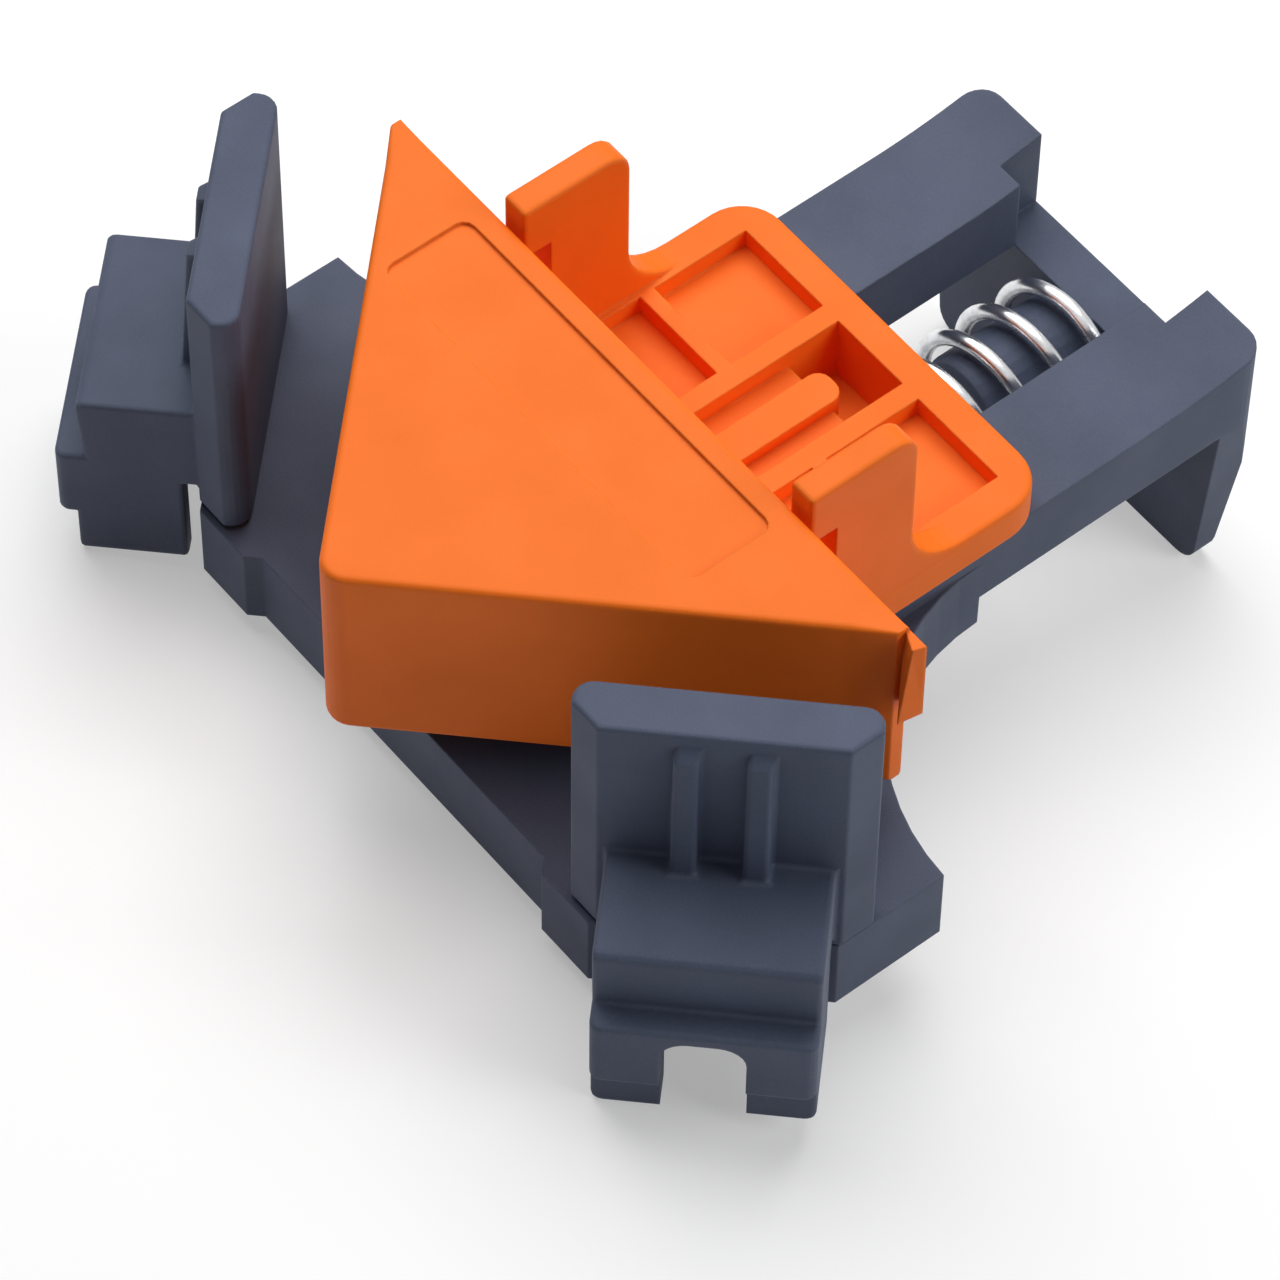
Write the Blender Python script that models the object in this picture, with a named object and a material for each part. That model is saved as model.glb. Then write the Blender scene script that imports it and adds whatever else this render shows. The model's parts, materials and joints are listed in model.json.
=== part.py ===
"""Spring corner clamp for one hand, with a T-shaped base, a sliding tray, a right-angle block
and two swivelling jaws.

Sizes are in millimetres and are turned into metres when a mesh is made.
X runs from the left jaw to the right jaw, Y from the block's corner to the palm plate, Z up.
Z = 0 is the underside of the crossbar, and Y = 0 is the back of the block.
"""
import math

import bmesh
import bpy
from mathutils import Matrix, Vector

MM = 0.001

# Fits
GAP = 0.3
SEAM = 0.03

# Pivots of the jaws, measured from the block and the end of the crossbar
BLOCK_HALF = 36.5
BAR_HALF_LENGTH = 43.3
JAW_GAP = 9.83
PIVOT_INSET = 5.4
PLATE_FACE = 7.5
ROOT_TWO = math.sqrt(2)
PIVOT_X = BAR_HALF_LENGTH - PIVOT_INSET
PIVOT_Y = PIVOT_X - BLOCK_HALF - ROOT_TWO * (JAW_GAP + PLATE_FACE)

# Crossbar of the base
BAR_END_MARGIN = 6.1
BAR_STEP = 1.2
BAR_HEIGHT = 9.0
BAR_FILLET = 24.0
BAR_FILLET_END_Y = 22.0
BAR_END_FLAT = 7.7
BAR_POCKET_BACK = -5.5
BAR_FLOOR = 2.4
BAR_WALL = 2.4
BAR_RIB = 1.8
BASE_EDGE = 0.6

# Stem and its open slot
STEM_HALF_WIDTH = 20.0
STEM_TOP = 12.0
STEM_BOTTOM = 3.8
STEM_FRONT = -12.0
STEM_RAMP = 6.0
STEM_RISE_START = 42.0
STEM_RISE = 1.45
SLOT_HALF_WIDTH = 8.7
SLOT_FRONT = 8.0

# Palm plate
PALM_INNER_Y = 50.7
PALM_THICK = 5.0
PALM_NOTCH_HALF = 11.6
PALM_NOTCH_FLOOR = 3.6
PALM_DEPTH = 17.6
PALM_FOOT_HALF = 18.3
PALM_FOOT_THICK = 2.4
PALM_CORNER = 2.4
PALM_EAR_CORNER = 2.6

# Angle block
BLOCK_TOP = 35.7
BLOCK_BOTTOM = 13.6
BLOCK_WALL = 2.4
BLOCK_NOSE_RADIUS = 2.4
BLOCK_TIP_CUT = 2.9
BLOCK_TIP_RADIUS = 0.6
BLOCK_EDGE = 0.9
LUG_BOTTOM = 26.0
LUG_THICK = 1.4
LUG_REACH = 3.2
PANEL_X0 = -22.7
PANEL_X1 = 19.9
PANEL_Y0 = -12.0
PANEL_Y1 = -2.7
PANEL_DEPTH = 0.35
PANEL_CORNER = 1.2

# Dovetail that carries the block
DOVE_ROOT_HALF = 3.6
DOVE_TIP_HALF = 5.2
DOVE_DEPTH = 3.4
DOVE_TOP = 28.0
DOVE_BOSS_HALF = 8.6

# Slider tray
TRAY_HALF = 21.3
TRAY_BACK = 28.7
TRAY_THICK = 4.6
TRAY_FLOOR = 2.4
TRAY_CORNER = 4.5
TRAY_RIM = 3.4
TRAY_EDGE = 0.5
TRAY_COLUMN = 2.2
POCKET_LEDGE = 0.6
POCKET_FRONT_Y = 3.2
CROSS_BAR_FRONT_Y = 13.0
CROSS_BAR = 1.6
CENTRE_POCKET_HALF = 4.5
CENTRE_BAR_HALF = 1.8
CENTRE_BAR_TIP = 1.4
CENTRE_BAR_DROP = 0.7
HOLE_FRONT_Y = 19.6
HOLE_FLOOR = 9.2
HOLE_WALL = 1.4
EAR_THICK = 3.0
EAR_LENGTH = 12.0
EAR_TOP = 37.9
EAR_FILLET = 6.5
EAR_CORNER = 2.6
EAR_EDGE = 0.42
EAR_TAIL = 2.0
EAR_DIP = 0.4
EAR_SINK = 0.01
EAR_RELIEF = 3.0
EAR_RELIEF_LOW = 23.0
EAR_RELIEF_HIGH = 31.9
FRONT_WALL = 2.6
FRONT_WALL_TOP = 26.0

# Key, keeper and spring
SLIDER_TRAVEL = 17.2
KEY_LENGTH = 10.7
KEEPER_HALF = 13.0
KEEPER_FLANGE = 2.2
KEEPER_DEPTH = 8.6
KEEPER_EDGE = 0.5
KEEPER_FILLET = 0.8
KEEPER_CORNER = 1.5
KEEPER_SCREW_SPACING = 4.5
SPRING_RADIUS = 6.6
SPRING_WIRE = 1.6
SPRING_Z = -1.0
SPRING_PITCH = 4.84
SPRING_CLOSE = 1.08
SPRING_DEAD_TURNS = 0.4
SPRING_START_ANGLE = -62.0
ROOM_LEAD = 1.5
ROOM_TAIL = 4.0
POST_RADIUS = 5.1
POST_CHAMFER = 0.8

# Jaws, measured from the pivot: u along the plate, v outwards
JAW_TURN = 45.0
JAW_EDGE = 0.45
PLATE_HALF = 13.1
PLATE_THICK = 4.9
PLATE_TOP = 38.9
PLATE_CHAMFER = 2.5
PLATE_FRONT_RADIUS = 1.8
PLATE_BACK_RADIUS = 0.4
RIB_SPACING = 6.2
RIB_WIDTH = 2.2
RIB_TOP = 37.4
RIB_TOP_OUT = 1.1
RIB_FOOT_OUT = 2.1
BOX_HALF = 9.8
BOX_OUT = 8.4
BOX_TOP = 21.1
BOX_BOTTOM = -1.0
BOX_EDGE = 0.9
BOX_WALL = 2.2
BOX_ROOF = 2.4
NECK_OUT = 7.8
SKIRT_OUT = 8.9
SKIRT_CORNER = 1.1
SWIVEL_RELIEF = -1.0
SWIVEL_NICK = 1.2
FLANGE_OUT = 10.6
FLANGE_LOW = 4.9
FLANGE_TOP = 13.3
FLANGE_CORNER = 1.0
NOTCH_HALF = 3.75
NOTCH_TOP = 12.0
NOTCH_CORNER = 2.5

# Tongue, screw and washer of each pivot
TONGUE_RADIUS = 3.2
TONGUE_HALF = 4.6
TONGUE_BOTTOM = 4.4
TONGUE_HOLE = 1.8
TONGUE_PLAY = 0.1
TONGUE_SINK = 1.1
JAW_BOSS_RADIUS = 3.2
JAW_SCREW_TOP = 15.8
SCREW_RADIUS = 1.45
SCREW_HEAD_RADIUS = 2.6
SCREW_HEAD_HEIGHT = 1.7
SCREW_POINT = 0.8
KEEPER_HEAD_RADIUS = 2.0
KEEPER_HEAD_HEIGHT = 1.5
WASHER_RADIUS = 3.0
WASHER_THICK = 0.8

# Places that follow from the sizes above
PLATE_BACK = PLATE_THICK - PLATE_FACE
BAR_FRONT = PIVOT_Y - BAR_END_MARGIN + BAR_STEP
BAR_END_FRONT = BAR_FRONT - BAR_STEP
BAR_CHAMFER = PIVOT_X - PIVOT_Y + (PLATE_BACK - TONGUE_PLAY) * ROOT_TWO
BAR_STEP_X = BAR_CHAMFER + BAR_END_FRONT - BAR_END_FLAT
BLOCK_BACK = -GAP
BLOCK_TIP_X = BLOCK_HALF - BLOCK_TIP_CUT
TRAY_BOTTOM = STEM_TOP + GAP
TRAY_TOP = TRAY_BOTTOM + TRAY_THICK
POCKET_BACK_Y = TRAY_BACK - TRAY_RIM
KEY_FRONT = SLOT_FRONT + GAP
KEY_BACK = KEY_FRONT + KEY_LENGTH
KEY_HALF = SLOT_HALF_WIDTH - GAP
KEEPER_TOP = STEM_BOTTOM - GAP
PALM_OUTER_Y = PALM_INNER_Y + PALM_THICK
POST_TIP_Y = KEY_BACK + SLIDER_TRAVEL + 2 * GAP
PLATE_BOTTOM = BAR_HEIGHT + GAP

ORANGE = (0.93, 0.24, 0.035, 1.0)
SLATE = (0.062, 0.072, 0.098, 1.0)
STEEL = (0.70, 0.71, 0.73, 1.0)


def clear_scene():
    for obj in list(bpy.data.objects):
        bpy.data.objects.remove(obj, do_unlink=True)


def make_material(name, colour, roughness, metallic):
    mat = bpy.data.materials.new(name)
    mat.use_nodes = True
    shader = mat.node_tree.nodes["Principled BSDF"]
    shader.inputs["Base Color"].default_value = colour
    shader.inputs["Roughness"].default_value = roughness
    shader.inputs["Metallic"].default_value = metallic
    return mat


def mesh_object(name, bm, material=None):
    """Turn a bmesh in millimetres into an object in metres."""
    bmesh.ops.recalc_face_normals(bm, faces=bm.faces)
    bmesh.ops.scale(bm, vec=(MM, MM, MM), verts=bm.verts)
    mesh = bpy.data.meshes.new(name)
    bm.to_mesh(mesh)
    bm.free()
    obj = bpy.data.objects.new(name, mesh)
    bpy.context.scene.collection.objects.link(obj)
    if material:
        mesh.materials.append(material)
    return obj


def prism(name, outline, low, high, axis="Z", material=None):
    """Extrude a closed outline along an axis.

    The outline is (x, y) for Z, (x, z) for Y and (y, z) for X.
    """
    place = {
        "Z": lambda a, b, c: (a, b, c),
        "Y": lambda a, b, c: (a, c, b),
        "X": lambda a, b, c: (c, a, b),
    }[axis]
    bm = bmesh.new()
    verts = [bm.verts.new(place(a, b, low)) for a, b in outline]
    face = bm.faces.new(verts)
    step = Vector(place(0, 0, high - low))
    grown = bmesh.ops.extrude_face_region(bm, geom=[face])
    moved = [v for v in grown["geom"] if isinstance(v, bmesh.types.BMVert)]
    bmesh.ops.translate(bm, vec=step, verts=moved)
    return mesh_object(name, bm, material)


def cylinder(name, radius, low, high, centre=(0, 0), axis="Z", sides=32, material=None):
    outline = []
    for i in range(sides):
        turn = 2 * math.pi * (i + 0.5) / sides
        outline.append((centre[0] + radius * math.cos(turn), centre[1] + radius * math.sin(turn)))
    return prism(name, outline, low, high, axis, material)


def box_outline(x0, x1, y0, y1):
    return [(x0, y0), (x1, y0), (x1, y1), (x0, y1)]


def arc(centre, radius, start, end, steps):
    """Points on an arc, angles in degrees, both ends included."""
    points = []
    for i in range(steps + 1):
        turn = math.radians(start + (end - start) * i / steps)
        points.append((centre[0] + radius * math.cos(turn), centre[1] + radius * math.sin(turn)))
    return points


def fillet(points, radii, steps=5):
    """Round the corners of a closed outline; a radius of 0 leaves the corner sharp."""
    out = []
    count = len(points)
    for i, radius in enumerate(radii):
        corner = Vector(points[i])
        if radius <= 0:
            out.append(tuple(corner))
            continue
        before = (Vector(points[i - 1]) - corner).normalized()
        after = (Vector(points[(i + 1) % count]) - corner).normalized()
        half = before.angle(after) / 2
        reach = radius / math.tan(half)
        centre = corner + (before + after).normalized() * (radius / math.sin(half))
        first = corner + before * reach - centre
        last = corner + after * reach - centre
        sweep = first.angle_signed(last)
        for k in range(steps + 1):
            turn = Matrix.Rotation(-sweep * k / steps, 2)
            out.append(tuple(centre + turn @ first))
    return out


def boolean(target, tool, operation="DIFFERENCE"):
    mod = target.modifiers.new(operation.title() + " " + tool.name, "BOOLEAN")
    mod.operation = operation
    mod.object = tool
    mod.solver = "EXACT"
    tool.hide_render = True
    tool.display_type = "WIRE"
    return mod


def bevel(obj, width, segments=2, angle=40.0):
    mod = obj.modifiers.new("Edge rounding", "BEVEL")
    mod.width = width * MM
    mod.segments = segments
    mod.limit_method = "ANGLE"
    mod.angle_limit = math.radians(angle)
    mod.use_clamp_overlap = True
    return mod


def settle(obj):
    """Replace the mesh by what its modifiers make of it, and drop the tools they used."""
    tools = [mod.object for mod in obj.modifiers if mod.type == "BOOLEAN"]
    bpy.context.view_layer.update()
    graph = bpy.context.evaluated_depsgraph_get()
    mesh = bpy.data.meshes.new_from_object(obj.evaluated_get(graph), depsgraph=graph)
    obj.modifiers.clear()
    obj.data = mesh
    for tool in tools:
        bpy.data.objects.remove(tool, do_unlink=True)
    return obj


def shade_smooth(obj, angle=35.0):
    bm = bmesh.new()
    bm.from_mesh(obj.data)
    limit = math.radians(angle)
    for face in bm.faces:
        face.smooth = True
    for edge in bm.edges:
        edge.smooth = len(edge.link_faces) == 2 and edge.calc_face_angle(0.0) < limit
    bm.to_mesh(obj.data)
    bm.free()


def mirrored(outline_half):
    """Close an outline over the Y axis from the points on its +X side."""
    left = [(-x, y) for x, y in reversed(outline_half)]
    return outline_half + left


def place_child(obj, parent):
    """Parent an object and keep its mesh where it was drawn."""
    obj.parent = parent
    obj.matrix_parent_inverse = parent.matrix_world.inverted()


def build_base(slate):
    base = base_outline(slate)
    for tool, operation in stem_and_palm():
        boolean(base, tool, operation)
        settle(base)
    bevel(base, BASE_EDGE, 2, 50)
    settle(base)
    for tool, operation in slot_and_post():
        boolean(base, tool, operation)
        settle(base)
    for side in (-1, 1):
        tongue = tongue_outline(side)
        boolean(base, prism("tongue", tongue, TONGUE_BOTTOM, BAR_HEIGHT - BASE_EDGE), "UNION")
    settle(base)
    for side in (-1, 1):
        centre = (side * PIVOT_X, PIVOT_Y)
        hole = cylinder("pivot hole", TONGUE_HOLE, TONGUE_BOTTOM - 1, BAR_HEIGHT + 1, centre, sides=24)
        boolean(base, hole)
        seat = cylinder("washer seat", WASHER_RADIUS + 2 * GAP, -1, TONGUE_BOTTOM, centre, sides=24)
        boolean(base, seat)
    for pocket in underside_pockets():
        boolean(base, prism("underside pocket", pocket, -1, BAR_HEIGHT - BAR_FLOOR))
    settle(base)
    shade_smooth(base)
    return base


def base_outline(slate):
    """The crossbar, with its ends cut parallel to the jaws and fillets that run into the stem."""
    fillet_x = STEM_HALF_WIDTH + BAR_FILLET
    start = math.degrees(math.acos((BAR_HALF_LENGTH - fillet_x) / BAR_FILLET))
    half = [
        (BAR_STEP_X, BAR_FRONT),
        (BAR_STEP_X + BAR_STEP, BAR_END_FRONT),
        (BAR_CHAMFER + BAR_END_FRONT, BAR_END_FRONT),
        (BAR_HALF_LENGTH, BAR_HALF_LENGTH - BAR_CHAMFER),
    ]
    half += arc((fillet_x, BAR_FILLET_END_Y), BAR_FILLET, 360 - start, 180, 14)
    return prism("base_frame", mirrored(half), 0, BAR_HEIGHT, "Z", slate)


def stem_and_palm():
    """The stem, the palm plate's foot, and the draft that thins the foot towards its edge."""
    steps = 8
    rise = []
    for i in range(steps + 1):
        share = i / steps
        y = STEM_RISE_START + (PALM_OUTER_Y - STEM_RISE_START) * share
        rise.append((y, STEM_TOP + STEM_RISE * share**2))
    profile = [
        (STEM_FRONT, STEM_BOTTOM),
        (PALM_OUTER_Y, STEM_BOTTOM),
        *reversed(rise),
        (STEM_FRONT + STEM_RAMP, STEM_TOP),
        (STEM_FRONT, BAR_HEIGHT - 1),
    ]
    yield prism("stem body", profile, -STEM_HALF_WIDTH, STEM_HALF_WIDTH, "X"), "UNION"

    foot = [
        (STEM_HALF_WIDTH, STEM_TOP - 2),
        (STEM_HALF_WIDTH, STEM_BOTTOM),
        (PALM_FOOT_HALF, -PALM_DEPTH),
        (-PALM_FOOT_HALF, -PALM_DEPTH),
        (-STEM_HALF_WIDTH, STEM_BOTTOM),
        (-STEM_HALF_WIDTH, STEM_TOP - 2),
    ]
    foot = fillet(foot, [0, 0, PALM_CORNER, PALM_CORNER, 0, 0])
    yield prism("palm plate", foot, PALM_INNER_Y, PALM_OUTER_Y, "Y"), "UNION"

    far = 2 * STEM_HALF_WIDTH
    slope = (PALM_THICK - PALM_FOOT_THICK) / (STEM_BOTTOM + PALM_DEPTH)
    draft = [
        (PALM_OUTER_Y, STEM_BOTTOM),
        (PALM_OUTER_Y + 5, STEM_BOTTOM),
        (PALM_OUTER_Y + 5, -PALM_DEPTH - 1),
        (PALM_INNER_Y + PALM_FOOT_THICK - slope, -PALM_DEPTH - 1),
    ]
    yield prism("palm draft", draft, -far, far, "X"), "DIFFERENCE"

    inner = STEM_HALF_WIDTH - PALM_EAR_CORNER
    back = PALM_OUTER_Y - PALM_EAR_CORNER
    for side in (-1, 1):
        round_edge = arc((side * inner, back), PALM_EAR_CORNER, 90, 90 - 90 * side, 6)
        corner = [*round_edge, (side * far, back), (side * far, far * 2), (side * inner, far * 2)]
        yield prism("palm corner", corner, -PALM_DEPTH - 1, far), "DIFFERENCE"


def slot_and_post():
    """The spring's slot, the keeper's room under it, the post in the spring and the palm notch."""
    top = STEM_TOP + STEM_RISE + 1
    slot = box_outline(-SLOT_HALF_WIDTH, SLOT_HALF_WIDTH, SLOT_FRONT, PALM_INNER_Y)
    yield prism("spring slot", slot, -1, top), "DIFFERENCE"
    room_half = KEEPER_HALF + 2 * GAP
    room = box_outline(-room_half, room_half, SLOT_FRONT - ROOM_LEAD, KEY_BACK + ROOM_TAIL)
    yield prism("keeper room", room, -1, STEM_BOTTOM), "DIFFERENCE"
    post = cylinder("spring post", POST_RADIUS, POST_TIP_Y, PALM_INNER_Y + 1, (0, SPRING_Z), "Y", 28)
    bevel(post, POST_CHAMFER, 2, 60)
    yield settle(post), "UNION"
    notch = box_outline(-PALM_NOTCH_HALF, PALM_NOTCH_HALF, PALM_INNER_Y, PALM_OUTER_Y + 1)
    yield prism("palm notch", notch, PALM_NOTCH_FLOOR, top), "DIFFERENCE"


def jaw_point(side, u, v):
    """A point of a jaw in the row frame, from its distances along and out from the pivot."""
    return (side * (PIVOT_X + (u + v) / ROOT_TWO), PIVOT_Y + (u - v) / ROOT_TWO)


def tongue_outline(side):
    root = PLATE_BACK - TONGUE_SINK
    nose = arc((0, 0), TONGUE_RADIUS, 180, 0, 8)
    points = [(-TONGUE_HALF, root), *nose, (TONGUE_HALF, root)]
    return [jaw_point(side, u, v) for u, v in points]


def underside_pockets():
    """Ribbed relief in the underside of the crossbar: rows of small open cells."""
    front = BAR_FRONT + BAR_WALL
    inner_back = SLOT_FRONT - ROOM_LEAD - BAR_WALL
    limit = BAR_CHAMFER - (BAR_WALL + TONGUE_SINK) * ROOT_TWO
    width = (2 * STEM_HALF_WIDTH - BAR_RIB) / 4
    middle = (front + inner_back) / 2
    cells = []
    for x0 in (BAR_RIB / 2, BAR_RIB / 2 + width):
        x1 = x0 + width - BAR_RIB
        cells.append(clipped_cell(x0, x1, front, middle - BAR_RIB / 2, limit))
        cells.append(box_outline(x0, x1, middle + BAR_RIB / 2, inner_back))
    first = STEM_HALF_WIDTH + BAR_RIB / 2
    last = BAR_HALF_LENGTH - BAR_WALL
    half_x = (last - first - BAR_RIB) / 2
    half_y = (BAR_POCKET_BACK - front - BAR_RIB) / 2
    for x0 in (first, last - half_x):
        for y0 in (front, BAR_POCKET_BACK - half_y):
            if x0 - y0 - half_y > limit - BAR_RIB:
                continue
            cells.append(clipped_cell(x0, x0 + half_x, y0, y0 + half_y, limit))
    return cells + [[(-x, y) for x, y in cell] for cell in cells]


def clipped_cell(x0, x1, y0, y1, limit):
    """A box outline without the part where x - y passes the limit."""
    box = box_outline(x0, x1, y0, y1)
    cell = []
    for i, (x, y) in enumerate(box):
        last_x, last_y = box[i - 1]
        before = last_x - last_y - limit
        here = x - y - limit
        if before * here < 0:
            share = before / (before - here)
            cell.append((last_x + (x - last_x) * share, last_y + (y - last_y) * share))
        if here <= 0:
            cell.append((x, y))
    return cell


def build_block(orange):
    tip_y = BLOCK_TIP_X - BLOCK_HALF
    outline = [
        (-BLOCK_TIP_X, BLOCK_BACK),
        (-BLOCK_TIP_X, tip_y),
        (0, -BLOCK_HALF),
        (BLOCK_TIP_X, tip_y),
        (BLOCK_TIP_X, BLOCK_BACK),
    ]
    radii = [0, BLOCK_TIP_RADIUS, BLOCK_NOSE_RADIUS, BLOCK_TIP_RADIUS, 0]
    block = prism("angle_block", fillet(outline, radii, 6), BLOCK_BOTTOM, BLOCK_TOP, "Z", orange)
    bevel(block, BLOCK_EDGE, 3, 60)
    settle(block)
    hollow = block_hollow()
    boolean(block, hollow)

    root = DOVE_ROOT_HALF + GAP
    tip = DOVE_TIP_HALF + GAP
    deep = BLOCK_BACK - DOVE_DEPTH - GAP
    groove = mirrored([(tip, deep), (root, BLOCK_BACK), (root, BLOCK_BACK + 1)])
    boolean(block, prism("dovetail groove", groove, BLOCK_BOTTOM - 1, DOVE_TOP + GAP))

    panel = box_outline(PANEL_X0, PANEL_X1, PANEL_Y0, PANEL_Y1)
    panel = fillet(panel, [PANEL_CORNER] * 4, 3)
    boolean(block, prism("top panel", panel, BLOCK_TOP - PANEL_DEPTH, BLOCK_TOP + 1))
    settle(block)

    lug = [
        (BLOCK_BACK - LUG_THICK, LUG_BOTTOM),
        (BLOCK_BACK, LUG_BOTTOM),
        *arc((BLOCK_BACK - BLOCK_EDGE, BLOCK_TOP - BLOCK_EDGE), BLOCK_EDGE, 0, 90, 3),
        (BLOCK_BACK - LUG_THICK, BLOCK_TOP),
    ]
    for side in (-1, 1):
        ends = sorted((side * (BLOCK_TIP_X - 1), side * (BLOCK_TIP_X + LUG_REACH)))
        boolean(block, prism("tip lug", lug, *ends, "X"), "UNION")
    settle(block)
    shade_smooth(block)
    return block


def block_hollow():
    """The open underside of the block: a wall's width in from the faces, round a boss and a web."""
    inner_half = BLOCK_TIP_X - (1 + ROOT_TWO) * BLOCK_WALL
    reach = BLOCK_HALF - BLOCK_WALL * ROOT_TWO
    back = BLOCK_BACK - BLOCK_WALL
    inner = mirrored([(0, -reach), (inner_half, inner_half - reach), (inner_half, back)])
    hollow = prism("block hollow", inner[:-1], BLOCK_BOTTOM - 1, BLOCK_TOP - BLOCK_WALL)
    boss_back = BLOCK_BACK - DOVE_DEPTH - GAP - 2 * BLOCK_WALL
    boss = box_outline(-DOVE_BOSS_HALF, DOVE_BOSS_HALF, boss_back, BLOCK_BACK)
    boolean(hollow, prism("dovetail boss", boss, BLOCK_BOTTOM - 2, BLOCK_TOP))
    web = box_outline(-BLOCK_WALL / 2, BLOCK_WALL / 2, -BLOCK_HALF, boss_back + 1)
    boolean(hollow, prism("block web", web, BLOCK_BOTTOM - 2, BLOCK_TOP))
    return settle(hollow)


def build_tray(orange):
    front = GAP
    outline = box_outline(-TRAY_HALF, TRAY_HALF, front, TRAY_BACK)
    outline = fillet(outline, [0, 0, TRAY_CORNER, TRAY_CORNER], 8)
    tray = prism("slider_tray", outline, TRAY_BOTTOM, TRAY_TOP, "Z", orange)
    bevel(tray, TRAY_EDGE, 2, 50)
    settle(tray)
    for side in (-1, 1):
        ends = sorted((side * (TRAY_HALF - EAR_THICK), side * (TRAY_HALF - SEAM)))
        ear = prism("finger ear", ear_outline(front + SEAM), *ends, "X")
        bevel(ear, EAR_EDGE, 2, 50)
        settle(ear)
        boolean(tray, ear, "UNION")
    settle(tray)

    for tool in tray_additions(front):
        boolean(tray, tool, "UNION")
        settle(tray)
    for tool in tray_pockets():
        boolean(tray, tool)
    for side in (-1, 1):
        ends = sorted((side * (TRAY_HALF - EAR_THICK - 1), side * (TRAY_HALF + 1)))
        relief = box_outline(*ends, front - 1, front + EAR_RELIEF)
        boolean(tray, prism("ear relief", relief, EAR_RELIEF_LOW, EAR_RELIEF_HIGH))
    for y in screw_rows():
        top = TRAY_BOTTOM - KEEPER_HEAD_HEIGHT + GAP
        boolean(tray, cylinder("keeper pilot", SCREW_RADIUS + GAP, STEM_BOTTOM - 1, top, (0, y), sides=20))
    settle(tray)
    shade_smooth(tray)
    return tray


def ear_outline(front):
    """A finger ear from the side; its fillet runs down into the tray's rim and dips under it."""
    back = front + EAR_LENGTH
    end = back + EAR_FILLET
    sweep = arc((end, TRAY_TOP + EAR_FILLET - EAR_SINK), EAR_FILLET, 270, 180, 8)
    ear = [
        (front, TRAY_BOTTOM + 1),
        (end + EAR_TAIL, TRAY_BOTTOM + 1),
        (end + EAR_TAIL, TRAY_TOP - EAR_DIP),
        *sweep,
        (back, EAR_TOP),
        (front, EAR_TOP),
    ]
    radii = [0] * (len(ear) - 2) + [EAR_CORNER, 0]
    return fillet(ear, radii, 5)


def tray_additions(front):
    """The wall that pushes the block, the key in the slot, the dovetail rail and the hole's cup."""
    inner = TRAY_HALF - EAR_THICK + 1
    wall = box_outline(-inner, inner, front + 2 * SEAM, front + FRONT_WALL)
    yield prism("front wall", wall, TRAY_BOTTOM + TRAY_EDGE, FRONT_WALL_TOP)
    key = box_outline(-KEY_HALF, KEY_HALF, KEY_FRONT, KEY_BACK)
    yield prism("slot key", key, STEM_BOTTOM, TRAY_BOTTOM + 1)
    cup_half = CENTRE_POCKET_HALF + HOLE_WALL
    cup = box_outline(-cup_half, cup_half, KEY_BACK - 1, POCKET_BACK_Y + HOLE_WALL)
    yield prism("hole cup", cup, HOLE_FLOOR - HOLE_WALL, TRAY_BOTTOM + 1)
    dove = mirrored([
        (DOVE_TIP_HALF, BLOCK_BACK - DOVE_DEPTH),
        (DOVE_ROOT_HALF, BLOCK_BACK),
        (DOVE_ROOT_HALF, front + 1),
    ])
    yield prism("dovetail rail", dove, TRAY_BOTTOM + SEAM, DOVE_TOP)


def tray_pockets():
    """Four side pockets and the centre one, whose front half keeps a tongue and rear half a deep hole."""
    floor = TRAY_BOTTOM + TRAY_FLOOR
    column = CENTRE_POCKET_HALF + TRAY_COLUMN
    side_edge = TRAY_HALF - EAR_THICK - POCKET_LEDGE
    rows = [(POCKET_FRONT_Y, CROSS_BAR_FRONT_Y), (CROSS_BAR_FRONT_Y + CROSS_BAR, POCKET_BACK_Y)]
    for low, high in rows:
        for side in (-1, 1):
            ends = sorted((side * column, side * side_edge))
            yield prism("side pocket", box_outline(*ends, low, high), floor, EAR_TOP)
    centre = box_outline(-CENTRE_POCKET_HALF, CENTRE_POCKET_HALF, POCKET_FRONT_Y, POCKET_BACK_Y)
    cutter = prism("centre pocket", centre, floor, EAR_TOP)
    hole = box_outline(-CENTRE_POCKET_HALF, CENTRE_POCKET_HALF, HOLE_FRONT_Y, POCKET_BACK_Y)
    boolean(cutter, prism("deep hole", hole, HOLE_FLOOR, floor + 1), "UNION")
    settle(cutter)
    tip = HOLE_FRONT_Y + CENTRE_BAR_TIP
    tongue = box_outline(-CENTRE_BAR_HALF, CENTRE_BAR_HALF, POCKET_FRONT_Y - 1, tip)
    tongue = fillet(tongue, [0, 0, CENTRE_BAR_TIP, CENTRE_BAR_TIP], 4)
    boolean(cutter, prism("centre tongue", tongue, HOLE_FLOOR - 1, TRAY_TOP - CENTRE_BAR_DROP))
    yield settle(cutter)


def screw_rows():
    middle = (KEY_FRONT + KEY_BACK) / 2
    return (middle - KEEPER_SCREW_SPACING / 2, middle + KEEPER_SCREW_SPACING / 2)


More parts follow.
